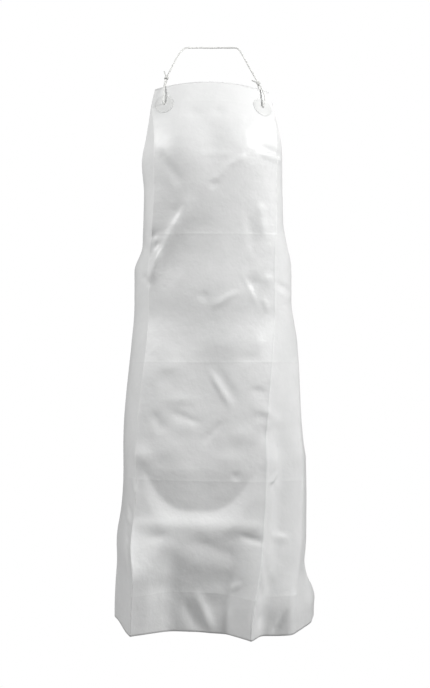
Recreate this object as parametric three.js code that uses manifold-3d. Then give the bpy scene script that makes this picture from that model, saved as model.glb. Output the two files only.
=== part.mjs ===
// A bib apron for butchery work: one sheet of white vinyl, cut with a knife and left unhemmed, hung from the neck on
// a thin cord. A round patch is welded round each of its four eyelet holes. The cord is one length: each end goes
// through a neck eyelet and is knotted back onto the cord just above the bib, so the apron swings on the two knots.
//
// Millimetres, +Z up. The apron faces -Y and +X is to the right of someone looking at its front, which is what left
// and right mean here. The origin is on the cord's centre line at the nape of the neck, where the apron hangs.

import * as THREE from "three";
import { mergeVertices } from "three/addons/utils/BufferGeometryUtils.js";
import Module from "manifold-3d";

const wasm = await Module();
wasm.setup();

// Driving dimensions of the cut sheet.
const APRON_WIDTH = 889;
const APRON_LENGTH = 1270;
const BIB_TOP_WIDTH = 276;
const ARMHOLE_DEPTH = 458;
const SHEET_THICKNESS = 0.5;
const PACKING_FOLD = 148; // from the middle to each of the two creases that folded the apron in thirds

// The cord and its knots.
const CORD_DIAMETER = 3.5;
const CORD_BEND = 2 * CORD_DIAMETER; // the smallest radius that the braid turns on
const KNOT_DIAMETER = 10;
const KNOT_TAIL_LENGTH = 12;
const LEFT_KNOT = new THREE.Vector3(-101.5, -112, -89);
const RIGHT_KNOT = new THREE.Vector3(109, -103, -99.5);

// Eyelets and their welded patches.
const EYELET_DIAMETER = CORD_DIAMETER + 2;
const PATCH_DIAMETER = 48;
const PATCH_THICKNESS = 0.5;
const NECK_EYELET_SPACING = 234;
const NECK_EYELET_DOWN = 47;
const WAIST_EYELET_FROM_SIDE = 30;
const WAIST_EYELET_BELOW_CORNER = 32;
const SEAT_GAP = 0.3; // between pieces that touch

// How the sheet hangs: the middle of its top edge, and the angles in degrees that shape it.
const TOP_BACK = -133;
const TOP_UP = -102;
const CHEST_LEAN = 25; // the upper chest slopes back, and the bib with it
const WAIST_TUCK = 6;
const BELLY_LEAN = 9;
const SKIRT_LEAN = 2;
const HEM_LEAN = -9; // the hem's middle hangs back between the two thirds
const BIB_BOW = 34; // from the middle of the front to a packing crease
const SKIRT_BOW = 13;
const BACK_TURN = 159; // at the wing, flat against the back
const WING_FLAT = 60; // the end of each wing that lies flat
const WAIST_BAND_END = ARMHOLE_DEPTH + 62; // above this the wings and the waist are drawn straight round, upright

const { degToRad, smoothstep } = THREE.MathUtils;
const ramp = (from, to, value) => smoothstep(value, from, to);

// ---------------------------------------------------------------------------------------------------------------
// The cut sheet: half its width at a distance down from the top edge.

const armhole = new THREE.CubicBezierCurve(
  new THREE.Vector2(BIB_TOP_WIDTH / 2, 0),
  new THREE.Vector2(BIB_TOP_WIDTH / 2 + 33, ARMHOLE_DEPTH * 0.24),
  new THREE.Vector2(BIB_TOP_WIDTH / 2 + 122, ARMHOLE_DEPTH * 0.96),
  new THREE.Vector2(APRON_WIDTH / 2, ARMHOLE_DEPTH),
);

// ---------------------------------------------------------------------------------------------------------------
// The hanging sheet. A point of the cut is named by its distance across from the middle and down from the top, and
// `hang` gives its place. Across, the sheet is followed by its heading in plan, 0 along +X and 90 straight back, so
// it keeps its width however it is turned. Down, its middle line is followed by its lean.

function lean(down) {
  const chest = CHEST_LEAN * (1 - ramp(30, 230, down));
  const waist = WAIST_TUCK * (ramp(170, 300, down) - ramp(380, 450, down));
  const belly = BELLY_LEAN * (ramp(520, 580, down) - ramp(620, 720, down));
  const skirt = SKIRT_LEAN * ramp(700, 900, down) + HEM_LEAN * ramp(950, 1120, down);
  return degToRad(chest - waist + belly + skirt);
}

const FOLLOW_STEP = 1.5; // how finely a path over the sheet is followed

function middleLine(down) {
  const place = new THREE.Vector3(0, TOP_BACK, TOP_UP);
  for (let from = 0; from < down; from += FOLLOW_STEP) {
    const stride = Math.min(FOLLOW_STEP, down - from);
    const angle = lean(from + stride / 2);
    place.y -= Math.sin(angle) * stride;
    place.z -= Math.cos(angle) * stride;
  }
  place.x = 5 + 10.5 * ramp(0, 150, down) - 13 * ramp(260, 440, down);
  place.x -= 24 * ramp(WAIST_BAND_END, 860, down) + 23 * ramp(900, APRON_LENGTH, down);
  return place;
}

// The turn of a side just past the packing crease: down the armhole, and then round the waist.
function startTurn(down, isRight) {
  const below = THREE.MathUtils.clamp((down - WAIST_BAND_END) / 80, 0, 1);
  if (isRight) {
    return 56 - 17 * ramp(320, 440, down) - 5 * below;
  }
  return 46 + 14 * ramp(160, 260, down) - 17 * ramp(380, 440, down) - 3 * below;
}

// The turn of a side at the hem, where it hangs free.
function skirtTurn(past, isRight) {
  if (isRight) {
    return 62 - 57 * ramp(35, 60, past) + 57 * ramp(104, 129, past) + 20 * ramp(200, 240, past);
  }
  return 75 + 49 * ramp(140, 296, past);
}

// How far a side has let go of the waist: 0 at the wings, 1 at the hem. The right side is held in longer.
function looseness(down, isRight) {
  if (isRight) {
    const held = 0.64 * THREE.MathUtils.clamp((down - WAIST_BAND_END) / 350, 0, 1);
    return held + 0.08 * ramp(870, 1110, down) + 0.28 * ramp(1110, 1230, down);
  }
  return THREE.MathUtils.clamp((down - WAIST_BAND_END) / (0.9 * APRON_LENGTH - WAIST_BAND_END), 0, 1);
}

// Near the hem the front third turns forward towards each packing crease.
function flare(out, down, isRight) {
  if (isRight) {
    return 48 * ramp(70, 90, out) * ramp(1000, 1250, down);
  }
  return 40 * ramp(25, 70, out) * ramp(1000, 1150, down);
}

function heading(across, down) {
  const isRight = across > 0;
  const out = Math.abs(across);
  const past = Math.max(0, out - PACKING_FOLD);
  const bow = BIB_BOW - (BIB_BOW - SKIRT_BOW) * (0.4 * ramp(200, 440, down) + 0.6 * ramp(520, 800, down));
  const front = bow * Math.min(1, out / PACKING_FOLD) - flare(out, down, isRight);
  const wrap = Math.min(1, past / (APRON_WIDTH / 2 - WING_FLAT - PACKING_FOLD));
  const waistSide = THREE.MathUtils.lerp(startTurn(down, isRight), BACK_TURN, wrap);
  const side = THREE.MathUtils.lerp(waistSide, skirtTurn(past, isRight), looseness(down, isRight));
  const turn = THREE.MathUtils.lerp(front, side, ramp(PACKING_FOLD - 3, PACKING_FOLD + 3, out));
  const yaw = 3 + 3 * ramp(0, 200, down) - 6 * ramp(260, 440, down);
  return degToRad(Math.sign(across) * turn + yaw);
}

// The hem rises towards its corners, because the sides hang from the wings.
function sideLift(past, isRight) {
  return isRight ? 6 * ramp(0, 60, past) + 24 * ramp(60, 296, past) : 14 * ramp(20, 150, past);
}

function hang(across, down) {
  const way = Math.sign(across);
  let right = 0;
  let back = 0;
  for (let from = 0; from < Math.abs(across); from += FOLLOW_STEP) {
    const stride = Math.min(FOLLOW_STEP, Math.abs(across) - from);
    const angle = heading(way * (from + stride / 2), down);
    right += way * Math.cos(angle) * stride;
    back += way * Math.sin(angle) * stride;
  }
  const place = middleLine(down);
  const slope = degToRad(CHEST_LEAN) * (1 - ramp(30, 230, down));
  const nearMiddle = 1 - Math.min(1, (across / PACKING_FOLD) ** 2);
  place.x += right;
  place.y += back * Math.cos(slope);
  place.z -= back * Math.sin(slope);
  place.z += 8 * nearMiddle * ramp(900, 1150, down);
  place.z += sideLift(Math.abs(across) - PACKING_FOLD, across > 0) * ramp(900, APRON_LENGTH, down);
  place.z -= right * Math.tan(degToRad(2.8)) * ramp(600, APRON_LENGTH, down);
  return place;
}

// The front of the sheet faces away from the wearer.
function facing(across, down) {
  const nudge = 1;
  const alongAcross = hang(across + nudge, down).sub(hang(across - nudge, down));
  const alongDown = hang(across, down + nudge).sub(hang(across, Math.max(0, down - nudge)));
  return alongDown.cross(alongAcross).normalize();
}

// A thin closed solid over a grid of cut positions: its front and back faces, joined round the rim. A grid that
// closes on itself, as a ring does, has no rim along that side.
function layer(columns, rows, position, inner, outer, closed = false) {
  const points = [];
  for (const lift of [outer, inner]) {
    for (let r = 0; r < rows; r++) {
      for (let c = 0; c < columns; c++) {
        const [across, down] = position(c, r);
        points.push(...hang(across, down).addScaledVector(facing(across, down), lift));
      }
    }
  }
  const back = rows * columns;
  const at = (c, r) => r * columns + (c % columns);
  const faces = [];
  const quad = (a, b, c, d) => faces.push(a, b, c, a, c, d);
  const spans = closed ? columns : columns - 1;
  for (let c = 0; c < spans; c++) {
    for (let r = 0; r < rows - 1; r++) {
      quad(at(c, r), at(c, r + 1), at(c + 1, r + 1), at(c + 1, r));
      quad(back + at(c, r), back + at(c + 1, r), back + at(c + 1, r + 1), back + at(c, r + 1));
    }
    quad(at(c, 0), at(c + 1, 0), back + at(c + 1, 0), back + at(c, 0));
    quad(at(c + 1, rows - 1), at(c, rows - 1), back + at(c, rows - 1), back + at(c + 1, rows - 1));
  }
  if (!closed) {
    for (let r = 0; r < rows - 1; r++) {
      quad(at(0, r + 1), at(0, r), back + at(0, r), back + at(0, r + 1));
      quad(at(columns - 1, r), at(columns - 1, r + 1), back + at(columns - 1, r + 1), back + at(columns - 1, r));
    }
  }
  const geometry = new THREE.BufferGeometry();
  geometry.setAttribute("position", new THREE.Float32BufferAttribute(points, 3));
  geometry.setIndex(faces);
  return geometry;
}

function toSolid(geometry) {
  const plain = geometry.clone();
  plain.deleteAttribute("normal");
  plain.deleteAttribute("uv");
  const merged = mergeVertices(plain, 1e-4);
  const vertProperties = new Float32Array(merged.attributes.position.array);
  const triVerts = new Uint32Array(merged.index.array);
  return new wasm.Manifold(new wasm.Mesh({ numProp: 3, vertProperties, triVerts }));
}

function toGeometry(solid) {
  const mesh = solid.getMesh();
  const geometry = new THREE.BufferGeometry();
  geometry.setAttribute("position", new THREE.Float32BufferAttribute(mesh.vertProperties, 3));
  geometry.setIndex(Array.from(mesh.triVerts));
  return geometry;
}

const apron = new THREE.Group();

function addPiece(name, geometry, material) {
  const piece = new THREE.Mesh(geometry, material);
  piece.name = name;
  apron.add(piece);
}

const vinyl = new THREE.MeshStandardMaterial({ color: 0xf2f2f0, roughness: 0.38, metalness: 0 });
const weldedVinyl = new THREE.MeshStandardMaterial({ color: 0xebebe8, roughness: 0.42, metalness: 0 });
const braid = new THREE.MeshStandardMaterial({ color: 0xf5f5f2, roughness: 0.85, metalness: 0 });

// ---------------------------------------------------------------------------------------------------------------
// Eyelets: where they are in the cut.

const waistEyelet = [APRON_WIDTH / 2 - WAIST_EYELET_FROM_SIDE, ARMHOLE_DEPTH + WAIST_EYELET_BELOW_CORNER];
const neckEyelet = [NECK_EYELET_SPACING / 2, NECK_EYELET_DOWN];
const eyelets = {
  left_neck: [-neckEyelet[0], neckEyelet[1]],
  right_neck: neckEyelet,
  left_waist: [-waistEyelet[0], waistEyelet[1]],
  right_waist: waistEyelet,
};

function punch([across, down]) {
  const tool = new THREE.CylinderGeometry(EYELET_DIAMETER / 2, EYELET_DIAMETER / 2, 12, 16);
  tool.applyQuaternion(new THREE.Quaternion().setFromUnitVectors(new THREE.Vector3(0, 1, 0), facing(across, down)));
  tool.translate(...hang(across, down));
  return toSolid(tool);
}

// ---------------------------------------------------------------------------------------------------------------
// The apron panel: columns crowd near the neck eyelets and the packing creases, rows near the top and the corners
// of the armholes.

const frontShares = [0, 0.22, 0.44, 0.6, 0.7, 0.8, 0.9, 0.98, 1.02];
const wrapShare = 1 - WING_FLAT / (APRON_WIDTH / 2 - frontShares.at(-1) * PACKING_FOLD);
const wrapShares = [0.08, 0.2, 0.34, 0.5, 0.66, 0.83, 1].map((share) => share * wrapShare);
const sideShares = [...wrapShares, (1 + wrapShare) / 2, 1];
const armholeShares = [0, 0.03, 0.07, 0.11, 0.16, 0.22, 0.3, 0.4, 0.5, 0.6, 0.7, 0.8, 0.87, 0.93, 0.97, 1];
const skirtShares = [0.05, 0.105, 0.16, 0.22, 0.28, 0.34, 0.4, 0.46, 0.52, 0.59, 0.66, 0.73, 0.8, 0.87, 0.94, 1];

const panelRows = armholeShares.map((share) => armhole.getPoint(share));
const skirtRows = skirtShares.map((share) => THREE.MathUtils.lerp(WAIST_BAND_END, APRON_LENGTH, share));
for (const down of [(ARMHOLE_DEPTH + WAIST_BAND_END) / 2, WAIST_BAND_END, ...skirtRows]) {
  panelRows.push(new THREE.Vector2(APRON_WIDTH / 2, down));
}

function columnsOf(halfWidth) {
  const crease = Math.min(PACKING_FOLD, 0.94 * halfWidth);
  const front = frontShares.map((share) => share * crease);
  const edge = front.at(-1);
  const half = [...front, ...sideShares.map((share) => THREE.MathUtils.lerp(edge, halfWidth, share))];
  return [...half.slice(1).reverse().map((across) => -across), ...half];
}

const panelColumns = panelRows.map((row) => columnsOf(row.x));
const sheet = layer(
  panelColumns[0].length,
  panelRows.length,
  (c, r) => [panelColumns[r][c], panelRows[r].y],
  -SHEET_THICKNESS / 2,
  SHEET_THICKNESS / 2,
);
let panel = toSolid(sheet);
for (const eyelet of Object.values(eyelets)) {
  panel = panel.subtract(punch(eyelet));
}
addPiece("apron_panel", toGeometry(panel), vinyl);

// ---------------------------------------------------------------------------------------------------------------
// The eyelet patches: discs of the same vinyl welded on the front, with the eyelet through their middle.

const patchRings = [EYELET_DIAMETER / 2, 8, 16, PATCH_DIAMETER / 2];
const patchSides = 28;

for (const [name, [across, down]] of Object.entries(eyelets)) {
  const inner = SHEET_THICKNESS / 2 + SEAT_GAP;
  const onPatch = (c, r) => {
    const angle = (2 * Math.PI * c) / patchSides;
    return [across + patchRings[r] * Math.cos(angle), down - patchRings[r] * Math.sin(angle)];
  };
  const patch = layer(patchSides, patchRings.length, onPatch, inner, inner + PATCH_THICKNESS, true);
  addPiece(`${name}_patch`, patch, weldedVinyl);
}

// ---------------------------------------------------------------------------------------------------------------
// The knots: each is a ball round its own centre, so that the loop below can turn on it, with the cut end of the
// cord standing out of it.

function tube(points, diameter, steps, sides = 8) {
  const section = new THREE.Shape();
  for (let i = 0; i < sides; i++) {
    const angle = (2 * Math.PI * (i + 0.5)) / sides;
    const corner = [(diameter / 2) * Math.cos(angle), (diameter / 2) * Math.sin(angle)];
    if (i === 0) section.moveTo(...corner);
    else section.lineTo(...corner);
  }
  section.closePath();
  const extrudePath = new THREE.CatmullRomCurve3(points, false, "centripetal");
  return new THREE.ExtrudeGeometry(section, { steps, extrudePath, bevelEnabled: false });
}

function knot(centre, tailWay) {
  const ball = new THREE.SphereGeometry(KNOT_DIAMETER / 2, 16, 12);
  ball.translate(...centre);
  const tailEnd = centre.clone().addScaledVector(tailWay.clone().normalize(), KNOT_DIAMETER / 2 + KNOT_TAIL_LENGTH);
  const tailMiddle = centre.clone().lerp(tailEnd, 0.5);
  return toGeometry(toSolid(ball).add(toSolid(tube([centre, tailMiddle, tailEnd], CORD_DIAMETER, 4))));
}

addPiece("left_knot", knot(LEFT_KNOT, new THREE.Vector3(-0.35, 0.1, 1)), braid);
addPiece("right_knot", knot(RIGHT_KNOT, new THREE.Vector3(-1, -0.3, 0.35)), braid);

// ---------------------------------------------------------------------------------------------------------------
// The neck cord, from knot to knot round the back of the neck. Its points are chosen by hand.

// The cord leaves a knot straight out of it.
function fromKnot(centre, way, further = 0) {
  return centre.clone().addScaledVector(way.clone().normalize(), KNOT_DIAMETER / 2 + SEAT_GAP + further);
}

const neckRoute = [
  [-93.5, -102, -71],
  [-85, -91, -51],
  [-75.5, -80, -32],
  [-67, -66, -18],
  [-61, -49, -10],
  [-53, -29, -5],
  [-40, -12, -2],
  [-21, -3, 0],
  [0, 0, 0],
  [21, -3, 0],
  [40, -12, -2],
  [53, -29, -5],
  [60.5, -49, -10],
  [66.5, -65, -18],
  [75, -77, -34],
  [86, -86, -56],
  [99.5, -97, -82],
].map((point) => new THREE.Vector3(...point));
neckRoute.unshift(fromKnot(LEFT_KNOT, neckRoute[0].clone().sub(LEFT_KNOT)));
neckRoute.push(fromKnot(RIGHT_KNOT, neckRoute.at(-1).clone().sub(RIGHT_KNOT)));
addPiece("neck_cord", tube(neckRoute, CORD_DIAMETER, 60), braid);

// ---------------------------------------------------------------------------------------------------------------
// The eyelet loops: from the knot down the front of the bib, through the eyelet, and up behind the bib to the knot.
// Each bows clear of the sheet at the eyelet, because the cord can't fold flat.

const LOOP_MARGIN = CORD_DIAMETER; // off the bib's top edge

function eyeletLoop(centre, [across, down], frontSway) {
  const outward = facing(across, down);
  const hole = hang(across, down);
  const edge = hang(across * 0.97, 0);
  const upSheet = edge.clone().sub(hole).normalize();
  const level = new THREE.Vector3(1, 0, 0);
  const along = (up, out, sway) =>
    hole.clone().addScaledVector(upSheet, up).addScaledVector(outward, out).addScaledVector(level, sway);
  const above = along(NECK_EYELET_DOWN, 0, 0);
  const front = above.clone().addScaledVector(outward, CORD_BEND).sub(centre);
  const behind = above.clone().addScaledVector(outward, -CORD_BEND).sub(centre);
  const throughHole = [60, 30, 0, -30, -60].map((angle) => {
    const turned = degToRad(angle);
    return along(CORD_BEND * (1 - Math.cos(turned)), CORD_BEND * Math.sin(turned), 0);
  });
  return [
    fromKnot(centre, front),
    fromKnot(centre, front, CORD_DIAMETER),
    along(NECK_EYELET_DOWN, LOOP_MARGIN, frontSway * 0.4),
    along(NECK_EYELET_DOWN * 0.6, CORD_BEND - 1, frontSway),
    along(NECK_EYELET_DOWN * 0.3, CORD_BEND, frontSway * 0.8),
    ...throughHole,
    along(NECK_EYELET_DOWN * 0.3, -CORD_BEND, 0),
    along(NECK_EYELET_DOWN * 0.6, 1 - CORD_BEND, 0),
    along(NECK_EYELET_DOWN, -LOOP_MARGIN, 0),
    fromKnot(centre, behind, CORD_DIAMETER),
    fromKnot(centre, behind),
  ];
}

addPiece("left_eyelet_loop", tube(eyeletLoop(LEFT_KNOT, eyelets.left_neck, 0.5), CORD_DIAMETER, 48), braid);
addPiece("right_eyelet_loop", tube(eyeletLoop(RIGHT_KNOT, eyelets.right_neck, 4), CORD_DIAMETER, 48), braid);

export default apron;
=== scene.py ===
"""A butcher's bib apron: white vinyl with four patched eyelets, hung from the neck on a knotted cord.

Cut positions, profiles and routes are in millimetres, +Z up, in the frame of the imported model, with the front
of the apron towards -Y and left and right as seen from the front.
"""

import bpy
import numpy as np
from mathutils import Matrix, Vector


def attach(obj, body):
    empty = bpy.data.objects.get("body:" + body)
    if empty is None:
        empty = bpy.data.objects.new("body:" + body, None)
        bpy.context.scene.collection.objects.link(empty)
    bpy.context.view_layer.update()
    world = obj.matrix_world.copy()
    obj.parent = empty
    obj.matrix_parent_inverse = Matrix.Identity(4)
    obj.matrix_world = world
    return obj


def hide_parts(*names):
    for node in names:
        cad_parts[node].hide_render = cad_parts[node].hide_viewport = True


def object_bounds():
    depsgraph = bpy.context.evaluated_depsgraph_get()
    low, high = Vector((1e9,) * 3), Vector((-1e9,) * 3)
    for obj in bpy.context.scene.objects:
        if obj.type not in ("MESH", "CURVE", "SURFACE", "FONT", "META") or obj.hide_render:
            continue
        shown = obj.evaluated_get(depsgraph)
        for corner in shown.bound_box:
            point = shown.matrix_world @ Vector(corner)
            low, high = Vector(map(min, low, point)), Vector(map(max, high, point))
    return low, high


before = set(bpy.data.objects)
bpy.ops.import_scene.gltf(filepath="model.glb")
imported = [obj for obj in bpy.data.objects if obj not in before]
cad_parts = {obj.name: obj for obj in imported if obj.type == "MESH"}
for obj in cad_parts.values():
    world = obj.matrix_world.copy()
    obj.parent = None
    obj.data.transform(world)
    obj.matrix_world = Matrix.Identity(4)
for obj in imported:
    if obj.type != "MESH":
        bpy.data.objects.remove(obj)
cad_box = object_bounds()
scene = bpy.context.scene

# ----------------------------------------------------------------------------------------------------------
# The camera. It stands level, square to the front and half way up the apron, as for a catalogue picture of a
# whole figure.

CAMERA_DISTANCE = 3.6
CAMERA_ASIDE = 0.0095
CAMERA_HEIGHT = -0.7
PICTURE_HEIGHT = 1.562
FRONT_BACK = -0.15

camera = bpy.data.objects.new("front_camera", bpy.data.cameras.new("front_camera"))
camera.data.sensor_fit = "VERTICAL"
camera.data.sensor_height = 24
camera.data.lens = 24 * CAMERA_DISTANCE / PICTURE_HEIGHT
camera.location = (CAMERA_ASIDE, FRONT_BACK - CAMERA_DISTANCE, CAMERA_HEIGHT)
camera.rotation_euler = (np.pi / 2, 0, 0)
scene.collection.objects.link(camera)
scene.camera = camera

# ----------------------------------------------------------------------------------------------------------
# How the sheet hangs. The apron is cut 889 by 1270 mm, with a 276 mm bib top, and hangs round the wearer. A
# place on it is worked out from its position in the cut: across from the middle and down from the top edge.
# Angles are in degrees.

APRON_WIDTH = 889
APRON_LENGTH = 1270
BIB_TOP_WIDTH = 276
ARMHOLE_DEPTH = 458
PACKING_FOLD = 148
WAIST_BAND_END = ARMHOLE_DEPTH + 62
TOP_BACK = -133
TOP_UP = -102
CHEST_LEAN = 25
WAIST_TUCK = 6
BELLY_LEAN = 9
SKIRT_LEAN = 2
HEM_LEAN = -9
BIB_BOW = 34
SKIRT_BOW = 13
BACK_TURN = 159
WING_FLAT = 60
SKIRT_TILT = 2.8
FOLLOW_STEP = 1.5


def ramp(low, high, value):
    """0 below low and 1 above high, with an even S between them."""
    share = np.clip((value - low) / (high - low), 0, 1)
    return share * share * (3 - 2 * share)


def chest_lean(down):
    """How far the chest leans the bib's top back: fully at its edge, and not at all below the breastbone."""
    return CHEST_LEAN * (1 - ramp(30, 230, down))


def lean(down):
    """How far the middle line leans from upright, at the chest, the waist, the belly, the skirt and the hem:
    above 0 it comes forward as it goes down, below 0 it goes back."""
    waist = WAIST_TUCK * (ramp(170, 300, down) - ramp(380, 450, down))
    belly = BELLY_LEAN * (ramp(520, 580, down) - ramp(620, 720, down))
    skirt = SKIRT_LEAN * ramp(700, 900, down) + HEM_LEAN * ramp(950, 1120, down)
    return chest_lean(down) - waist + belly + skirt


def middle_line(down):
    """Places down the middle line: its lean, followed in small steps, and its drift to one side."""
    starts = np.arange(0, APRON_LENGTH + FOLLOW_STEP, FOLLOW_STEP)
    angle = np.radians(lean(starts + FOLLOW_STEP / 2))
    forward = np.concatenate([[0], np.cumsum(np.sin(angle) * FOLLOW_STEP)])
    fall = np.concatenate([[0], np.cumsum(np.cos(angle) * FOLLOW_STEP)])
    marks = np.append(starts, starts[-1] + FOLLOW_STEP)
    drift = 5 + 10.5 * ramp(0, 150, down) - 13 * ramp(260, 440, down)
    drift -= 24 * ramp(WAIST_BAND_END, 860, down) + 23 * ramp(900, APRON_LENGTH, down)
    forward, fall = np.interp(down, marks, forward), np.interp(down, marks, fall)
    return np.stack([drift, TOP_BACK - forward, TOP_UP - fall], axis=-1)


def start_turn(on_right, down):
    """The turn of a side just past the packing crease: down the armhole, and then round the waist."""
    below = np.clip((down - WAIST_BAND_END) / 80, 0, 1)
    right = 56 - 17 * ramp(320, 440, down) - 5 * below
    left = 46 + 14 * ramp(160, 260, down) - 17 * ramp(380, 440, down) - 3 * below
    return np.where(on_right, right, left)


def skirt_turn(on_right, past):
    """The turn of a side at the hem, where it hangs free. The right has a pleat that faces forward, from
    about 48 to 116 mm past the packing crease."""
    right = 62 - 57 * ramp(35, 60, past) + 57 * ramp(104, 129, past) + 20 * ramp(200, 240, past)
    return np.where(on_right, right, 75 + 49 * ramp(140, 296, past))


def looseness(on_right, down):
    """How far a side has let go of the waist: 0 at the wings, 1 at the hem. The right is held in longer."""
    right = 0.64 * np.clip((down - WAIST_BAND_END) / 350, 0, 1)
    right = right + 0.08 * ramp(870, 1110, down) + 0.28 * ramp(1110, 1230, down)
    left = np.clip((down - WAIST_BAND_END) / (0.9 * APRON_LENGTH - WAIST_BAND_END), 0, 1)
    return np.where(on_right, right, left)


def flare(on_right, out, down):
    """Near the hem the front third turns forward towards each packing crease."""
    right = 48 * ramp(70, 90, out) * ramp(1000, 1250, down)
    return np.where(on_right, right, 40 * ramp(25, 70, out) * ramp(1000, 1150, down))


def heading(across, down):
    """Which way the sheet goes across, in plan, at any place in the cut: 0 along +X, 90 straight back. The
    front bows evenly out to the packing creases. There each side turns back at once, and then evenly on,
    round the waist, or as the skirt does where it has let go. The bib is turned a few degrees besides."""
    on_right = across > 0
    out = np.abs(across)
    past = np.maximum(0, out - PACKING_FOLD)
    bow = BIB_BOW - (BIB_BOW - SKIRT_BOW) * (0.4 * ramp(200, 440, down) + 0.6 * ramp(520, 800, down))
    front = bow * np.minimum(1, out / PACKING_FOLD) - flare(on_right, out, down)
    start = start_turn(on_right, down)
    wrap = np.minimum(1, past / (APRON_WIDTH / 2 - WING_FLAT - PACKING_FOLD))
    waist_side = start + (BACK_TURN - start) * wrap
    side = waist_side + (skirt_turn(on_right, past) - waist_side) * looseness(on_right, down)
    turn = front + (side - front) * ramp(PACKING_FOLD - 3, PACKING_FOLD + 3, out)
    yaw = 3 + 3 * ramp(0, 200, down) - 6 * ramp(260, 440, down)
    return np.sign(across) * turn + yaw


def hang(across, down):
    """Places of cut positions: each row follows its heading from the middle line, so that widths are kept.
    Level rows then lean with the chest. Near the hem they rise at the middle and at the sides, and the skirt
    hangs lower to the right."""
    across, down = np.broadcast_arrays(np.asarray(across, float), np.asarray(down, float))
    rows, row = np.unique(down, return_inverse=True)
    row = row.reshape(down.shape)
    reach = FOLLOW_STEP * np.ceil((APRON_WIDTH / 2 + 4) / FOLLOW_STEP)
    middles = np.arange(-reach, reach, FOLLOW_STEP) + FOLLOW_STEP / 2
    angle = np.radians(heading(middles[None, :], rows[:, None]))
    nothing = np.zeros((len(rows), 1))
    right = np.hstack([nothing, np.cumsum(np.cos(angle) * FOLLOW_STEP, axis=1)])
    back = np.hstack([nothing, np.cumsum(np.sin(angle) * FOLLOW_STEP, axis=1)])
    centre = len(middles) // 2
    right -= right[:, centre : centre + 1]
    back -= back[:, centre : centre + 1]
    cell = (across + reach) / FOLLOW_STEP
    first = np.clip(np.floor(cell).astype(int), 0, len(middles) - 1)
    share = cell - first
    right = right[row, first] * (1 - share) + right[row, first + 1] * share
    back = back[row, first] * (1 - share) + back[row, first + 1] * share
    slope = np.radians(chest_lean(down))
    place = middle_line(down)
    place[..., 0] += right
    place[..., 1] += back * np.cos(slope)
    near_middle = 1 - np.minimum(1, (across / PACKING_FOLD) ** 2)
    place[..., 2] += 8 * near_middle * ramp(900, 1150, down) - back * np.sin(slope)
    past = np.abs(across) - PACKING_FOLD
    right_lift = 6 * ramp(0, 60, past) + 24 * ramp(60, 296, past)
    side_lift = np.where(across > 0, right_lift, 14 * ramp(20, 150, past))
    place[..., 2] += side_lift * ramp(900, APRON_LENGTH, down)
    place[..., 2] -= right * np.tan(np.radians(SKIRT_TILT)) * ramp(600, APRON_LENGTH, down)
    return place


def facing_of(surface, across, down):
    """The way the front of a surface over the cut faces, from its slopes across and down."""
    along_across = surface(across + 1, down) - surface(across - 1, down)
    along_down = surface(across, down + 1) - surface(across, np.maximum(0, down - 1))
    outward = np.cross(along_down, along_across)
    return outward / np.linalg.norm(outward, axis=-1, keepdims=True)


# ----------------------------------------------------------------------------------------------------------
# The cord. One length of white braided cord, 3.5 mm thick, goes round the neck from knot to knot, and on
# through each eyelet and back to its knot. Every run is a braided mesh tube along its route.

CORD_DIAMETER = 3.5
CORD_STEP = 0.55
LEFT_KNOT = np.array([-101.5, -112.0, -89.0])
RIGHT_KNOT = np.array([109.0, -103.0, -99.5])
NECK_ROUTE = [
    [-93.5, -102, -71],
    [-85, -91, -51],
    [-75.5, -80, -32],
    [-67, -66, -18],
    [-61, -49, -10],
    [-53, -29, -5],
    [-40, -12, -2],
    [-21, -3, 0],
    [0, 0, 0],
    [21, -3, 0],
    [40, -12, -2],
    [53, -29, -5],
    [60.5, -49, -10],
    [66.5, -65, -18],
    [75, -77, -34],
    [86, -86, -56],
    [99.5, -97, -82],
]


def smooth_route(points, spacing):
    """Even places along a smooth curve through the points: a centripetal Catmull-Rom curve, found as Barry
    and Goldman do, by mixing neighbouring points in three rounds."""
    points = np.asarray(points, float)
    points = np.vstack([2 * points[0] - points[1], points, 2 * points[-1] - points[-2]])
    knots = np.concatenate([[0], np.cumsum(np.sqrt(np.linalg.norm(np.diff(points, axis=0), axis=1)))])
    value = np.linspace(knots[1], knots[-2], 60 * len(points))
    first = np.clip(np.searchsorted(knots, value, side="right") - 2, 0, len(points) - 4)

    def between(a, b, i, j):
        share = ((value - knots[first + i]) / (knots[first + j] - knots[first + i]))[:, None]
        return a * (1 - share) + b * share

    p0, p1, p2, p3 = (points[first + i] for i in range(4))
    a1, a2, a3 = between(p0, p1, 0, 1), between(p1, p2, 1, 2), between(p2, p3, 2, 3)
    b1, b2 = between(a1, a2, 0, 2), between(a2, a3, 1, 3)
    curve = between(b1, b2, 1, 2)
    travelled = np.concatenate([[0], np.cumsum(np.linalg.norm(np.diff(curve, axis=0), axis=1))])
    marks = np.linspace(0, travelled[-1], max(3, round(travelled[-1] / spacing)))
    return np.stack([np.interp(marks, travelled, curve[:, axis]) for axis in range(3)], axis=1)


def add_mesh(name, points, faces, uv=None):
    """A mesh object at the origin, from points in millimetres, their faces and a UV for each point."""
    mesh = bpy.data.meshes.new(name)
    mesh.from_pydata((np.asarray(points) / 1000).tolist(), [], [list(map(int, face)) for face in faces])
    if uv is not None:
        layer = mesh.uv_layers.new(name="cut")
        corners = np.empty(len(mesh.loops), np.int32)
        mesh.loops.foreach_get("vertex_index", corners)
        layer.data.foreach_set("uv", np.asarray(uv, np.float32)[corners].ravel())
    mesh.polygons.foreach_set("use_smooth", np.ones(len(mesh.polygons), bool))
    piece = bpy.data.objects.new(name, mesh)
    scene.collection.objects.link(piece)
    return piece


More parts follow.
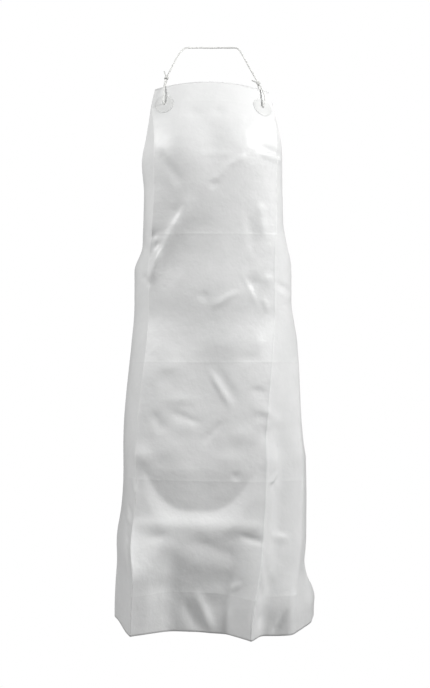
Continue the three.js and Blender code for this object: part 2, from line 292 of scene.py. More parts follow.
def grid_faces(rows, columns, round_columns=False):
    """Quads of a grid of points numbered row by row, closed on itself across if round_columns."""
    spans = columns if round_columns else columns - 1
    r, c = np.meshgrid(np.arange(rows - 1), np.arange(spans), indexing="ij")
    after = (c + 1) % columns
    this_row, next_row = r * columns, (r + 1) * columns
    return np.stack([this_row + c, this_row + after, next_row + after, next_row + c], -1).reshape(-1, 4)


def braid_tube(name, path, reference, diameter=CORD_DIAMETER):
    """A round section carried along a path, with its strands standing out as lumps: the radius rises and
    falls with two waves, one along the cord less one round it. Its ends are rounded."""
    sides, lumps, lump_length = 32, 8, 3.4
    tangent = np.gradient(path, axis=0)
    tangent /= np.linalg.norm(tangent, axis=1, keepdims=True)
    side = np.cross(tangent, reference)
    side /= np.linalg.norm(side, axis=1, keepdims=True)
    other = np.cross(tangent, side)
    along = np.concatenate([[0], np.cumsum(np.linalg.norm(np.diff(path, axis=0), axis=1))])
    angle = np.arange(sides) * 2 * np.pi / sides
    weave = np.cos(2 * np.pi * along / lump_length)[:, None] - np.cos(lumps * angle)[None, :]
    from_end = np.minimum(along, along[-1] - along)
    closing = np.sqrt(np.clip(1 - (1 - np.minimum(1, from_end / (diameter / 2))) ** 2, 0.0004, 1))
    radius = diameter / 2 * (0.95 + 0.025 * weave) * closing[:, None]
    ring = np.cos(angle)[None, :, None] * side[:, None, :] + np.sin(angle)[None, :, None] * other[:, None, :]
    points = (path[:, None, :] + radius[..., None] * ring).reshape(-1, 3)
    faces = grid_faces(len(path), sides, round_columns=True).tolist()
    faces += [list(range(sides))[::-1], list(range((len(path) - 1) * sides, len(path) * sides))]
    u, v = np.meshgrid(along / 10, np.arange(sides) / sides, indexing="ij")
    return add_mesh(name, points, faces, np.stack([u, v], -1).reshape(-1, 2))


neck_path = smooth_route([LEFT_KNOT, *NECK_ROUTE, RIGHT_KNOT], CORD_STEP)
neck_cord = braid_tube("neck_cord_braid", neck_path, np.array([0, -1, 1]) / np.sqrt(2))

NECK_EYELET_SPACING = 234
NECK_EYELET_DOWN = 47
WAIST_EYELET_FROM_SIDE = 30
WAIST_EYELET_BELOW_CORNER = 32
NECK_EYELET = (NECK_EYELET_SPACING / 2, NECK_EYELET_DOWN)
WAIST_EYELET = (APRON_WIDTH / 2 - WAIST_EYELET_FROM_SIDE, ARMHOLE_DEPTH + WAIST_EYELET_BELOW_CORNER)
CORD_BEND = 2 * CORD_DIAMETER
LOOP_MARGIN = CORD_DIAMETER
KNOT_DIAMETER = 10
SEAT_GAP = 0.3


def eyelet_loop(knot_centre, across, down, front_sway):
    """The route of a loop: down the front of the bib, through the eyelet and up behind. It bows clear of the
    sheet, and goes through the hole on a half circle, because the cord can't fold flat."""
    outward = facing_of(hang, np.array([across]), np.array([down]))[0]
    hole = hang(np.array([across]), np.array([down]))[0]
    up_sheet = hang(np.array([across * 0.97]), np.array([0]))[0] - hole
    up_sheet /= np.linalg.norm(up_sheet)

    def along(up, out, sway):
        return hole + up_sheet * up + outward * out + np.array([sway, 0, 0])

    def from_knot(side, further):
        way = along(down, side * CORD_BEND, 0) - knot_centre
        return knot_centre + way / np.linalg.norm(way) * further

    clear = KNOT_DIAMETER / 2 + SEAT_GAP
    turned = np.radians([60, 30, 0, -30, -60])
    through_hole = [along(CORD_BEND * (1 - np.cos(turn)), CORD_BEND * np.sin(turn), 0) for turn in turned]
    return [
        from_knot(1, 0.5),
        from_knot(1, clear),
        from_knot(1, clear + CORD_DIAMETER),
        along(down, LOOP_MARGIN, front_sway * 0.4),
        along(down * 0.6, CORD_BEND - 1, front_sway),
        along(down * 0.3, CORD_BEND, front_sway * 0.8),
        *through_hole,
        along(down * 0.3, -CORD_BEND, 0),
        along(down * 0.6, 1 - CORD_BEND, 0),
        along(down, -LOOP_MARGIN, 0),
        from_knot(-1, clear + CORD_DIAMETER),
        from_knot(-1, clear),
        from_knot(-1, 0.5),
    ]


left_loop_path = smooth_route(eyelet_loop(LEFT_KNOT, -NECK_EYELET[0], NECK_EYELET[1], 0.5), CORD_STEP)
right_loop_path = smooth_route(eyelet_loop(RIGHT_KNOT, NECK_EYELET[0], NECK_EYELET[1], 4), CORD_STEP)
left_loop = braid_tube("left_eyelet_loop_braid", left_loop_path, np.array([1.0, 0, 0]))
right_loop = braid_tube("right_eyelet_loop_braid", right_loop_path, np.array([1.0, 0, 0]))


KNOT_TAIL_LENGTH = 12
WRAP_DIAMETER = 3.3
WRAP_TURNS = 2.25


def wrapped_knot(name, centre, axis, tail_way):
    """A knot: the cord's end wound round the standing cord in a tight helix, its cut tail standing out."""
    axis = np.asarray(axis, float) / np.linalg.norm(axis)
    tail_way = np.asarray(tail_way, float) / np.linalg.norm(tail_way)
    first = tail_way - axis * (tail_way @ axis)
    first /= np.linalg.norm(first)
    second = np.cross(axis, first)
    angle = np.linspace(-2 * np.pi * WRAP_TURNS, 0, 40)
    height = np.linspace(-3.7, 2.6, 40)
    round_axis = np.cos(angle)[:, None] * first + np.sin(angle)[:, None] * second
    coil = centre + WRAP_DIAMETER * round_axis + height[:, None] * axis
    tail = centre + tail_way * np.array([[0.45], [0.7], [1]]) * (KNOT_DIAMETER / 2 + KNOT_TAIL_LENGTH)
    path = smooth_route(np.vstack([coil, tail]), 0.5)
    return braid_tube(name, path, axis, diameter=WRAP_DIAMETER)


left_knot = wrapped_knot("left_knot_wraps", LEFT_KNOT, neck_path[20] - LEFT_KNOT, [-0.35, 0.1, 1])
right_knot = wrapped_knot("right_knot_wraps", RIGHT_KNOT, neck_path[-20] - RIGHT_KNOT, [-1, -0.3, 0.35])

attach(neck_cord, "neck_loop")
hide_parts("neck_cord")
for knot, node in ((left_knot, "left_knot"), (right_knot, "right_knot")):
    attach(knot, "neck_loop")
    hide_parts(node)
for loop, path, node, centre in (
    (left_loop, left_loop_path, "left_eyelet_loop", LEFT_KNOT),
    (right_loop, right_loop_path, "right_eyelet_loop", RIGHT_KNOT),
):
    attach(loop, "apron")
    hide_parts(node)

cord_material = bpy.data.materials.new("white_braid")
cord_material.use_nodes = True
nodes, links = cord_material.node_tree.nodes, cord_material.node_tree.links
surface = nodes["Principled BSDF"]
surface.inputs["Roughness"].default_value = 0.8
surface.inputs["Specular IOR Level"].default_value = 0.3
where = nodes.new("ShaderNodeTexCoord")
fibres = nodes.new("ShaderNodeTexNoise")
fibres.inputs["Scale"].default_value = 900
fibres.inputs["Detail"].default_value = 4
tint = nodes.new("ShaderNodeValToRGB")
tint.color_ramp.elements[0].color = (0.62, 0.62, 0.6, 1)
tint.color_ramp.elements[1].color = (0.84, 0.84, 0.82, 1)
tint.color_ramp.elements[0].position = 0.35
tint.color_ramp.elements[1].position = 0.6
lift = nodes.new("ShaderNodeBump")
lift.inputs["Strength"].default_value = 0.35
lift.inputs["Distance"].default_value = 0.0003
links.new(where.outputs["Object"], fibres.inputs["Vector"])
links.new(fibres.outputs["Fac"], tint.inputs["Fac"])
links.new(tint.outputs["Color"], surface.inputs["Base Color"])
links.new(fibres.outputs["Fac"], lift.inputs["Height"])
links.new(lift.outputs["Normal"], surface.inputs["Normal"])
for cord in (neck_cord, left_knot, right_knot, left_loop, right_loop):
    cord.data.materials.append(cord_material)

# ----------------------------------------------------------------------------------------------------------
# The apron panel. A 0.5 mm vinyl sheet, die-cut and left raw, that still shows the folds of its packing: two
# upright, which make thirds, and five level. Wearing it adds soft hollows and ridges, set here one by one.

SHEET_THICKNESS = 0.5
LEVEL_FOLDS = (50, 359, 650, 918, 1179)

# All worn folds and hollows stand out by this times the height that they are given.
WORN_STRENGTH = 1.5

# Ridges, or valleys where the height is negative: start, end, width, height.
WORN_FOLDS = [
    # under the chest, and at the armpits
    ((-140, 166), (-84, 242), 10, -2.2),
    ((62, 184), (22, 206), 8, 1.6),
    ((24, 204), (2, 238), 8, 1.4),
    ((-44, 180), (38, 182), 6, 0.9),
    ((98, 157), (168, 172), 8, -1.8),
    ((100, 172), (172, 186), 8, 2.4),
    # from the left armhole down to the waist, and the pinch there
    ((-60, 280), (-146, 468), 15, 4),
    ((-30, 320), (-104, 478), 22, -2.0),
    ((-122, 398), (-142, 464), 12, 3.2),
    ((-166, 450), (-146, 478), 7, -2.2),
    # from the right armhole down to the waist, and the pinch there
    ((102, 290), (118, 372), 11, 1.6),
    ((70, 300), (96, 400), 12, -1.2),
    ((150, 470), (218, 490), 7, -2.0),
    ((152, 488), (214, 508), 6, 0.9),
    ((68, 452), (104, 522), 5, 1.1),
    ((120, 506), (128, 534), 6, 1.2),
    # across the belly
    ((0, 524), (58, 490), 8, 1.8),
    ((8, 674), (60, 750), 5, 2.2),
    ((24, 668), (76, 742), 9, -1.5),
    ((-78, 762), (-4, 790), 8, -1.4),
    ((-76, 792), (-18, 802), 11, 0.8),
    ((-116, 764), (-86, 808), 11, -1.7),
    ((108, 748), (204, 792), 12, 1.7),
    ((118, 770), (164, 780), 9, -1.2),
    ((44, 786), (4, 832), 8, -1.4),
    ((104, 712), (140, 720), 7, -1.2),
    ((98, 738), (146, 742), 9, 0.4),
    # right of the packing crease, at the thigh
    ((156, 926), (188, 898), 7, 2.2),
    ((162, 912), (200, 934), 7, 1.6),
    ((176, 1040), (232, 1052), 9, 2.0),
    ((168, 1108), (202, 1164), 9, -2.6),
    ((158, 1138), (176, 1184), 7, -2.2),
    ((222, 1266), (248, 1212), 7, -3.0),
    # left of the packing crease, at the thigh
    ((-162, 918), (-150, 952), 6, 1.8),
    ((-200, 982), (-160, 1002), 7, -2.0),
    ((-204, 1008), (-166, 1020), 7, 1.6),
    ((-190, 1050), (-160, 1062), 7, -1.6),
    # down the middle between the thighs, and in the skirt
    ((6, 560), (0, 980), 52, -6),
    ((-10, 1020), (16, 1262), 56, -4),
    ((-102, 600), (-104, 900), 26, 1.6),
    ((-96, 1052), (40, 1130), 24, 2.4),
    ((-20, 1050), (96, 1096), 18, -1.8),
    ((8, 1180), (50, 1268), 10, 3.4),
    ((-24, 1196), (20, 1268), 14, -2.6),
    ((84, 1166), (106, 1148), 7, 1.6),
    ((96, 1040), (150, 1052), 8, -2.2),
    ((150, 1070), (149, 1268), 7, 1.6),
]

# Bulges, or hollows where the height is negative: middle, half width across and down, height.
WORN_HOLLOWS = [
    ((-82, 160), (58, 62), 4),
    ((70, 158), (62, 62), 4),
    ((-16, 140), (32, 62), -5.5),
    ((-50, 80), (20, 14), -1.8),
    ((8, 78), (15, 13), -1.8),
    ((-8, 248), (8, 8), -1.6),
    ((-8, 236), (9, 7), 1.0),
    ((-140, 360), (13, 11), -2.8),
    ((-127, 382), (10, 8), -2.4),
    ((-90, 312), (16, 17), -2.2),
    ((128, 462), (15, 13), 1.4),
    ((90, 470), (18, 14), -1.8),
    ((-18, 500), (13, 11), -1.4),
    ((8, 500), (95, 125), 5),
    ((0, 676), (120, 70), -3),
    ((-60, 600), (40, 40), -1.6),
    ((30, 610), (60, 30), 1.6),
    ((-80, 660), (26, 14), 1.2),
    ((90, 640), (20, 14), -1.2),
    ((112, 610), (14, 20), 1.2),
    ((-96, 690), (18, 18), -1.6),
    ((-60, 735), (34, 12), 1.4),
    ((92, 816), (32, 20), 2.2),
    ((146, 812), (13, 17), -2.4),
    ((172, 872), (26, 32), 5),
    ((174, 925), (12, 10), -2.6),
    ((-132, 866), (22, 22), 3.8),
    ((-70, 850), (26, 30), 2.2),
    ((60, 870), (34, 18), 1.6),
    ((78, 905), (10, 9), -1.6),
    ((-92, 1050), (18, 12), -2.2),
    ((-70, 1165), (40, 24), -2.6),
    ((70, 1150), (34, 26), -2.0),
    ((52, 1205), (26, 24), -2.4),
    ((96, 1215), (24, 26), 1.6),
    ((-110, 1200), (20, 60), 1.8),
    ((190, 1130), (18, 22), 1.8),
    ((196, 1225), (22, 16), -2.0),
    ((-178, 1140), (16, 70), -1.8),
]


def fold(across, down, start, end, width, height):
    """A ridge from start to end: a bell across it, fading out at both ends."""
    (a0, d0), (a1, d1) = start, end
    length = np.hypot(a1 - a0, d1 - d0)
    along = ((across - a0) * (a1 - a0) + (down - d0) * (d1 - d0)) / length**2
    beside = ((across - a0) * (d1 - d0) - (down - d0) * (a1 - a0)) / length
    fade = ramp(-0.15, 0.3, along) * (1 - ramp(0.7, 1.15, along))
    return height * np.exp(-((beside / width) ** 2)) * fade


def hollow(across, down, middle, half_size, height):
    """A bell over an oval."""
    away = ((across - middle[0]) / half_size[0]) ** 2 + ((down - middle[1]) / half_size[1]) ** 2
    return height * np.exp(-away)


def thigh_sag(across, down):
    """Between the thighs the sheet falls in at an even slope from a level line down to an arc, then comes out
    again to a broad ridge across the skirt. It is deepest at the middle of the arc, and nothing at its ends,
    which rise to the line."""
    top, bottom, middle, half_width, slope, soft_start = 890, 990, -6, 126, 0.2, 14
    arc = bottom - (bottom - top) * np.minimum(1, np.abs(across - middle) / half_width) ** 3
    fallen = np.clip(down, top, arc) - top
    returned = ramp(-8, 66, down - arc)
    sunk = -slope * fallen**2 / (fallen + soft_start) * (1 - returned)
    ridge = 4 * np.exp(-(((down - 1020) / 18) ** 2)) * (1 - ramp(125, 160, np.abs(across)))
    return sunk + ridge


def packing_creases(across, down):
    """Raised lines where the sheet was folded: sharp upright ones at the thirds, and faint level ones."""
    from_upright = np.abs(np.abs(across) - PACKING_FOLD)
    height = (0.45 + 0.4 * ramp(900, 1100, down)) * np.exp(-((from_upright / 2.2) ** 2))
    for level in LEVEL_FOLDS:
        height = height + 0.22 * np.exp(-(((down - level) / 2.4) ** 2))
    return height


def relief(across, down):
    """How far the sheet stands out of its smooth hang: its worn folds and hollows and its packing creases."""
    across, down = np.broadcast_arrays(np.asarray(across, float), np.asarray(down, float))
    height = sum(fold(across, down, *one) for one in WORN_FOLDS)
    height = height + sum(hollow(across, down, *one) for one in WORN_HOLLOWS)
    worn_in = WORN_STRENGTH * height + thigh_sag(across, down)
    flat_at_eyelets = np.minimum(1, np.hypot(np.abs(across) - WAIST_EYELET[0], down - WAIST_EYELET[1]) / 60)
    return worn_in * flat_at_eyelets**2 + packing_creases(across, down)


def worn(across, down):
    """Places on the sheet as worn: the smooth hang, moved out by its relief."""
    return hang(across, down) + facing_of(hang, across, down) * relief(across, down)[..., None]


def cubic(share, *corners):
    """A cubic Bezier curve's value for each share of its run, from four corner values."""
    mixed = [(1 - share) ** 3, 3 * share * (1 - share) ** 2, 3 * share**2 * (1 - share), share**3]
    return sum(weight * corner for weight, corner in zip(mixed, corners))


# The armhole's cut, from the bib's corner to the wing's: half the sheet's width, and the fall from the top.
armhole_share = np.linspace(0, 1, 4001)
bib_half = BIB_TOP_WIDTH / 2
armhole_out = cubic(armhole_share, bib_half, bib_half + 33, bib_half + 122, APRON_WIDTH / 2)
armhole_fall = cubic(armhole_share, 0, ARMHOLE_DEPTH * 0.24, ARMHOLE_DEPTH * 0.96, ARMHOLE_DEPTH)

# Rows crowd at the level folds, and columns at the upright ones.
armhole_rows, skirt_rows, front_columns, side_columns = 94, 164, 32, 43
armhole_marks = np.interp(np.linspace(0, 1, armhole_rows) ** 0.9, armhole_share, armhole_fall)
even_rows = np.concatenate([armhole_marks, np.linspace(ARMHOLE_DEPTH, APRON_LENGTH, skirt_rows)[1:]])
crease_marks = np.add.outer(LEVEL_FOLDS, [-3, -1.2, 0, 1.2, 3]).ravel()
clear_of_creases = np.abs(even_rows[:, None] - crease_marks[None, :]).min(axis=1) > 1
down_rows = np.sort(np.concatenate([even_rows[clear_of_creases], crease_marks]))
half_width = np.interp(down_rows, armhole_fall, armhole_out)[:, None]
crease_column = np.minimum(PACKING_FOLD, 0.94 * half_width)
front_part = np.linspace(0, 1, front_columns)[None, :] * (crease_column - 6)
crease_part = crease_column + np.array([-3.4, -1.8, -0.8, 0, 0.8, 1.8, 3.4, 6])[None, :]
side_part = crease_column + 6 + np.linspace(0, 1, side_columns)[None, 1:] * (half_width - crease_column - 6)
half_columns = np.hstack([front_part, crease_part, side_part])
panel_across = np.hstack([-half_columns[:, :0:-1], half_columns])
panel_down = np.repeat(down_rows[:, None], panel_across.shape[1], axis=1)
panel_points = worn(panel_across, panel_down).reshape(-1, 3)
panel = add_mesh(
    "apron_sheet",
    panel_points,
    grid_faces(*panel_across.shape)[:, ::-1],
    np.stack([panel_across, -panel_down], -1).reshape(-1, 2) / 1000,
)
from_edge = np.minimum(half_width - np.abs(panel_across), np.minimum(panel_down, APRON_LENGTH - panel_down))
panel.data.attributes.new("from_edge", "FLOAT", "POINT").data.foreach_set("value", from_edge.ravel())
wall = panel.modifiers.new("thickness", "SOLIDIFY")
wall.thickness = SHEET_THICKNESS / 1000
wall.offset = 0

EYELET_DIAMETER = CORD_DIAMETER + 2
eyelets = np.array([[side * out, down] for side in (-1, 1) for out, down in (NECK_EYELET, WAIST_EYELET)])


def punch(across, down, half_length=8):
    """A 24-sided pin through the sheet at an eyelet, from the back to the front."""
    middle = worn(np.array([across]), np.array([down]))[0]
    axis = facing_of(hang, np.array([across]), np.array([down]))[0]
    side = np.cross(axis, [0, 0, 1])
    side /= np.linalg.norm(side)
    up = np.cross(side, axis)
    angle = np.arange(24)[:, None] * 2 * np.pi / 24
    ring = EYELET_DIAMETER / 2 * (np.cos(angle) * side + np.sin(angle) * up)
    return np.vstack([middle + ring - axis * half_length, middle + ring + axis * half_length])


pins = np.vstack([punch(*eyelet) for eyelet in eyelets])
pin_faces = []
for first in range(0, len(pins), 48):
    near, far = list(range(first, first + 24)), list(range(first + 24, first + 48))
    pin_faces += [near, far[::-1]]
    pin_faces += [[near[(i + 1) % 24], near[i], far[i], far[(i + 1) % 24]] for i in range(24)]
cutter = add_mesh("eyelet_pins", pins, pin_faces)
punched = panel.modifiers.new("eyelets", "BOOLEAN")
punched.operation = "DIFFERENCE"
punched.solver = "EXACT"
punched.object = cutter
finished = bpy.data.meshes.new_from_object(panel.evaluated_get(bpy.context.evaluated_depsgraph_get()))
panel.modifiers.clear()
panel.data = finished
bpy.data.objects.remove(cutter)
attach(panel, "apron")
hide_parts("apron_panel")


def value_of(tree, operation, *terms):
    """The value of a Math node in a node tree, fed with numbers or with other nodes' values."""
    node = tree.nodes.new("ShaderNodeMath")
    node.operation = operation
    for socket, term in zip(node.inputs, terms):
        if isinstance(term, (int, float)):
            socket.default_value = term
        else:
            tree.links.new(term, socket)
    return node.outputs["Value"]


def handled_vinyl():
    """A node group for calendered vinyl that has been folded, worn and wiped: slow shifts of tone, a fine
    pressed grain, soft unevenness and rubbed patches of sheen. It gives a colour, a roughness and a height in
    millimetres."""
    group = bpy.data.node_groups.new("handled_vinyl", "ShaderNodeTree")
    for name, kind, default in (
        ("Colour", "NodeSocketColor", (0.8, 0.8, 0.8, 1)),
        ("Rubbed Colour", "NodeSocketColor", (0.7, 0.7, 0.7, 1)),
        ("Roughness", "NodeSocketFloat", 0.4),
        ("Grain", "NodeSocketFloat", 0.03),
    ):
        group.interface.new_socket(name, in_out="INPUT", socket_type=kind).default_value = default
    group.interface.new_socket("Colour", in_out="OUTPUT", socket_type="NodeSocketColor")
    group.interface.new_socket("Roughness", in_out="OUTPUT", socket_type="NodeSocketFloat")
    group.interface.new_socket("Height", in_out="OUTPUT", socket_type="NodeSocketFloat")
    nodes, links = group.nodes, group.links
    given, result = nodes.new("NodeGroupInput"), nodes.new("NodeGroupOutput")
    where = nodes.new("ShaderNodeTexCoord")

    def noise(scale, detail, roughness=0.5):
        node = nodes.new("ShaderNodeTexNoise")
        node.inputs["Scale"].default_value = scale
        node.inputs["Detail"].default_value = detail
        node.inputs["Roughness"].default_value = roughness
        links.new(where.outputs["Object"], node.inputs["Vector"])
        return node.outputs["Fac"]

    rubbed = nodes.new("ShaderNodeMapRange")
    rubbed.inputs["From Min"].default_value, rubbed.inputs["From Max"].default_value = 0.42, 0.66
    links.new(noise(7, 6, 0.62), rubbed.inputs["Value"])
    tone = nodes.new("ShaderNodeMix")
    tone.data_type = "RGBA"
    links.new(rubbed.outputs["Result"], tone.inputs["Factor"])
    links.new(given.outputs["Colour"], tone.inputs["A"])
    links.new(given.outputs["Rubbed Colour"], tone.inputs["B"])
    links.new(tone.outputs["Result"], result.inputs["Colour"])
    sheen = value_of(group, "MULTIPLY_ADD", noise(38, 4), 0.22, -0.11)
    links.new(value_of(group, "ADD", given.outputs["Roughness"], sheen), result.inputs["Roughness"])
    grain = value_of(group, "MULTIPLY", noise(1500, 2), given.outputs["Grain"])
    uneven = value_of(group, "MULTIPLY_ADD", noise(26, 3), 1.9, grain)
    links.new(value_of(group, "MULTIPLY_ADD", noise(110, 3), 0.28, uneven), result.inputs["Height"])
    return group


VINYL_GROUP = handled_vinyl()


def vinyl_material(name, colour, rubbed_colour, roughness, grain):
    """White vinyl: the handled-vinyl group, in a satin surface with a thin coat."""
    material = bpy.data.materials.new(name)
    material.use_nodes = True
    nodes, links = material.node_tree.nodes, material.node_tree.links
    surface = nodes["Principled BSDF"]
    surface.inputs["Specular IOR Level"].default_value = 0.45
    surface.inputs["Coat Weight"].default_value = 0.12
    surface.inputs["Coat Roughness"].default_value = 0.3
    handled = nodes.new("ShaderNodeGroup")
    handled.name = "handled"
    handled.node_tree = VINYL_GROUP
    handled.inputs["Colour"].default_value = (*colour, 1)
    handled.inputs["Rubbed Colour"].default_value = (*rubbed_colour, 1)
    handled.inputs["Roughness"].default_value = roughness
    handled.inputs["Grain"].default_value = grain
    bump = nodes.new("ShaderNodeBump")
    bump.name = "surface_bump"
    bump.inputs["Strength"].default_value = 1
    bump.inputs["Distance"].default_value = 0.001
    links.new(handled.outputs["Colour"], surface.inputs["Base Color"])
    links.new(handled.outputs["Roughness"], surface.inputs["Roughness"])
    links.new(handled.outputs["Height"], bump.inputs["Height"])
    links.new(bump.outputs["Normal"], surface.inputs["Normal"])
    return material


vinyl = vinyl_material("white_vinyl", (0.86, 0.862, 0.858), (0.8, 0.805, 0.8), 0.4, 0.03)
nodes, links = vinyl.node_tree.nodes, vinyl.node_tree.links
handled = nodes["handled"]
cut_place = nodes.new("ShaderNodeUVMap")
cut_place.uv_map = "cut"
split = nodes.new("ShaderNodeSeparateXYZ")
links.new(cut_place.outputs["UV"], split.inputs["Vector"])


def on_vinyl(operation, *terms):
    """A Math node's value in the panel's own material."""
    return value_of(vinyl.node_tree, operation, *terms)


# A folded line is stressed whiter and duller than the sheet, with a break here and there.
from_middle = on_vinyl("ABSOLUTE", split.outputs["X"])
nearest = on_vinyl("ABSOLUTE", on_vinyl("SUBTRACT", from_middle, PACKING_FOLD / 1000))
for level in LEVEL_FOLDS:
    off_level = on_vinyl("ABSOLUTE", on_vinyl("ADD", split.outputs["Y"], level / 1000))
    nearest = on_vinyl("MINIMUM", nearest, on_vinyl("MULTIPLY_ADD", off_level, 1.4, 0.0008))
line = nodes.new("ShaderNodeMapRange")
line.interpolation_type = "SMOOTHSTEP"
line.inputs["From Min"].default_value, line.inputs["From Max"].default_value = 0.0003, 0.0018
line.inputs["To Min"].default_value, line.inputs["To Max"].default_value = 1, 0
links.new(nearest, line.inputs["Value"])
where = nodes.new("ShaderNodeTexCoord")
breaks = nodes.new("ShaderNodeTexNoise")
breaks.inputs["Scale"].default_value = 45
links.new(where.outputs["Object"], breaks.inputs["Vector"])
unbroken = on_vinyl("MULTIPLY_ADD", breaks.outputs["Fac"], 1.4, -0.35)
stressed = on_vinyl("MULTIPLY", line.outputs["Result"], unbroken)
# The raw edge is painted darker for its last two millimetres, a painted shade line along the sheet's outline,
# broken here and there.
edge = nodes.new("ShaderNodeAttribute")
edge.attribute_name = "from_edge"
painted_edge_shade = nodes.new("ShaderNodeMapRange")
painted_edge_shade.inputs["From Min"].default_value, painted_edge_shade.inputs["From Max"].default_value = 0.2, 2.4
painted_edge_shade.inputs["To Min"].default_value, painted_edge_shade.inputs["To Max"].default_value = 0.7, 0
links.new(edge.outputs["Fac"], painted_edge_shade.inputs["Value"])
whitened = nodes.new("ShaderNodeMix")
whitened.data_type = "RGBA"
whitened.inputs["B"].default_value = (0.93, 0.93, 0.925, 1)
links.new(stressed, whitened.inputs["Factor"])
links.new(handled.outputs["Colour"], whitened.inputs["A"])
# Painted shade: the colour is mixed towards grey along the edge.
edge_shaded = nodes.new("ShaderNodeMix")
edge_shaded.data_type = "RGBA"
edge_shaded.inputs["B"].default_value = (0.66, 0.665, 0.655, 1)
links.new(on_vinyl("MULTIPLY", painted_edge_shade.outputs["Result"], breaks.outputs["Fac"]), edge_shaded.inputs["Factor"])
links.new(whitened.outputs["Result"], edge_shaded.inputs["A"])
links.new(edge_shaded.outputs["Result"], nodes["Principled BSDF"].inputs["Base Color"])
dull = on_vinyl("MULTIPLY_ADD", stressed, 0.2, handled.outputs["Roughness"])
links.new(dull, nodes["Principled BSDF"].inputs["Roughness"])
raised = on_vinyl("MULTIPLY_ADD", stressed, 0.12, handled.outputs["Height"])
links.new(raised, nodes["surface_bump"].inputs["Height"])
panel.data.materials.append(vinyl)

# ----------------------------------------------------------------------------------------------------------
# The eyelet patches. Discs of the same vinyl, 48 mm across, welded on round each eyelet. A ring of heat seal
# is pressed in near the rim and another round the hole.

PATCH_DIAMETER = 48
PATCH_THICKNESS = 0.5
welded_vinyl = vinyl_material("welded_vinyl", (0.78, 0.785, 0.775), (0.72, 0.725, 0.715), 0.44, 0.05)


def welded_patch(name, across, down):
    """A closed ring profile, in distance from the eyelet and lift off the sheet, carried round in the cut's
    plane. The sheet under it is followed at a few rings, and between them straight."""
    inner, outer = EYELET_DIAMETER / 2, PATCH_DIAMETER / 2
    top = np.linspace(inner + 0.2, outer - 0.25, 46)
    rim_weld = 0.45 * np.exp(-(((top - outer + 3) / 0.9) ** 2))
    hole_weld = 0.14 * np.exp(-(((top - inner - 2.4) / 0.7) ** 2))
    out = np.concatenate([[inner], top, [outer, outer], np.linspace(outer - 0.6, inner + 0.3, 9), [inner]])
    pressed = PATCH_THICKNESS - (rim_weld + hole_weld)
    lift = np.concatenate([[0.35], pressed, [0.35, 0.08], np.zeros(9), [0.08]])
    lift += SHEET_THICKNESS / 2 + SEAT_GAP
    angle = np.arange(72) * 2 * np.pi / 72
    rings = np.linspace(inner, outer, 8)
    a = across + rings[:, None] * np.cos(angle)
    d = down + rings[:, None] * np.sin(angle)
    under, away = worn(a, d), facing_of(hang, a, d)
    first = np.clip(np.searchsorted(rings, out, side="right") - 1, 0, len(rings) - 2)
    share = ((out - rings[first]) / (rings[first + 1] - rings[first]))[:, None, None]
    points = under[first] * (1 - share) + under[first + 1] * share
    points = points + (away[first] * (1 - share) + away[first + 1] * share) * lift[:, None, None]
    faces = grid_faces(len(out) + 1, len(angle), round_columns=True) % (len(out) * len(angle))
    cut = np.stack([across + out[:, None] * np.cos(angle), -down - out[:, None] * np.sin(angle)], -1)
    patch = add_mesh(name, points.reshape(-1, 3), faces, cut.reshape(-1, 2) / 1000)
    patch.data.materials.append(welded_vinyl)
    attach(patch, "apron")
    return patch


for side, way in (("left", -1), ("right", 1)):
    neck_patch = welded_patch(f"{side}_neck_patch_disc", way * NECK_EYELET[0], NECK_EYELET[1])
    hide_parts(f"{side}_neck_patch")
    waist_patch = welded_patch(f"{side}_waist_patch_disc", way * WAIST_EYELET[0], WAIST_EYELET[1])
    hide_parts(f"{side}_waist_patch")

# ----------------------------------------------------------------------------------------------------------
# The studio: a floor and surround that are seen white, and soft light. The key is at the front right, with a
# weaker fill at the front left and a third box behind. So the right is bright, and the skirt falls off in
# tone.

FLOOR_DROP = 0.11
FLOOR_REACH = 60.0
SEEN_WHITE = 1.0

floor_height = cad_box[0][2] - FLOOR_DROP
floor_mesh = bpy.data.meshes.new("studio_floor")
corners = [(x * FLOOR_REACH, y * FLOOR_REACH, floor_height) for x, y in ((-1, -1), (1, -1), (1, 1), (-1, 1))]
floor_mesh.from_pydata(corners, [], [(0, 1, 2, 3)])
floor = bpy.data.objects.new("studio_floor", floor_mesh)
scene.collection.objects.link(floor)


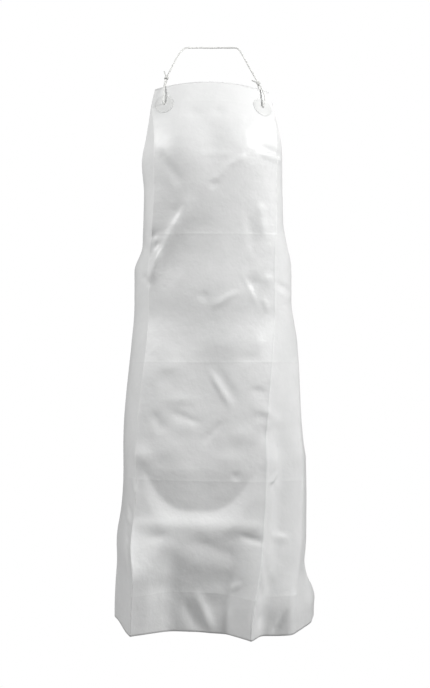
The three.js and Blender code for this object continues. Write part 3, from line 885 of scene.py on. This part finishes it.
def seen_white(tree, output, glow_kind, lit):
    """White where the camera looks straight at it, and the given shader to everything else."""
    glow = tree.nodes.new(glow_kind)
    glow.inputs["Color"].default_value = (1, 1, 1, 1)
    glow.inputs["Strength"].default_value = SEEN_WHITE
    path = tree.nodes.new("ShaderNodeLightPath")
    choose = tree.nodes.new("ShaderNodeMixShader")
    tree.links.new(path.outputs["Is Camera Ray"], choose.inputs["Fac"])
    tree.links.new(lit.outputs[0], choose.inputs[1])
    tree.links.new(glow.outputs[0], choose.inputs[2])
    tree.links.new(choose.outputs["Shader"], output.inputs["Surface"])


floor_material = bpy.data.materials.new("pale_floor")
floor_material.use_nodes = True
floor_nodes = floor_material.node_tree.nodes
floor_nodes["Principled BSDF"].inputs["Base Color"].default_value = (0.3, 0.3, 0.3, 1)
floor_nodes["Principled BSDF"].inputs["Roughness"].default_value = 0.9
seen_white(
    floor_material.node_tree,
    floor_nodes["Material Output"],
    "ShaderNodeEmission",
    floor_nodes["Principled BSDF"],
)
floor_mesh.materials.append(floor_material)


def softbox(name, place, target, size, power):
    """A rectangular lamp of a width and height at a place, facing a target."""
    lamp = bpy.data.lights.new(name, "AREA")
    lamp.shape = "RECTANGLE"
    lamp.size, lamp.size_y = size
    lamp.energy = power
    box = bpy.data.objects.new(name, lamp)
    box.location = place
    way = np.array(target) - np.array(place)
    level = np.hypot(way[0], way[1])
    box.rotation_euler = (np.arctan2(level, -way[2]), 0, np.arctan2(-way[0], way[1]))
    scene.collection.objects.link(box)


softbox("key_softbox", place=(2.35, -1.4, 0.95), target=(0, -0.15, -0.1), size=(1.1, 1.2), power=92)
softbox("fill_softbox", place=(-2.6, -1.25, 0.95), target=(0, -0.15, -0.2), size=(1.1, 1.5), power=70)
softbox("back_softbox", place=(0.7, 2.8, 1.2), target=(0, -0.1, -0.6), size=(1.6, 1.6), power=62)

world = bpy.data.worlds.new("studio")
world.use_nodes = True
surround = world.node_tree.nodes["Background"]
surround.inputs["Color"].default_value = (0.97, 0.985, 1, 1)
surround.inputs["Strength"].default_value = 0.11
seen_white(world.node_tree, world.node_tree.nodes["World Output"], "ShaderNodeBackground", surround)
scene.world = world
scene.view_settings.view_transform = "Standard"
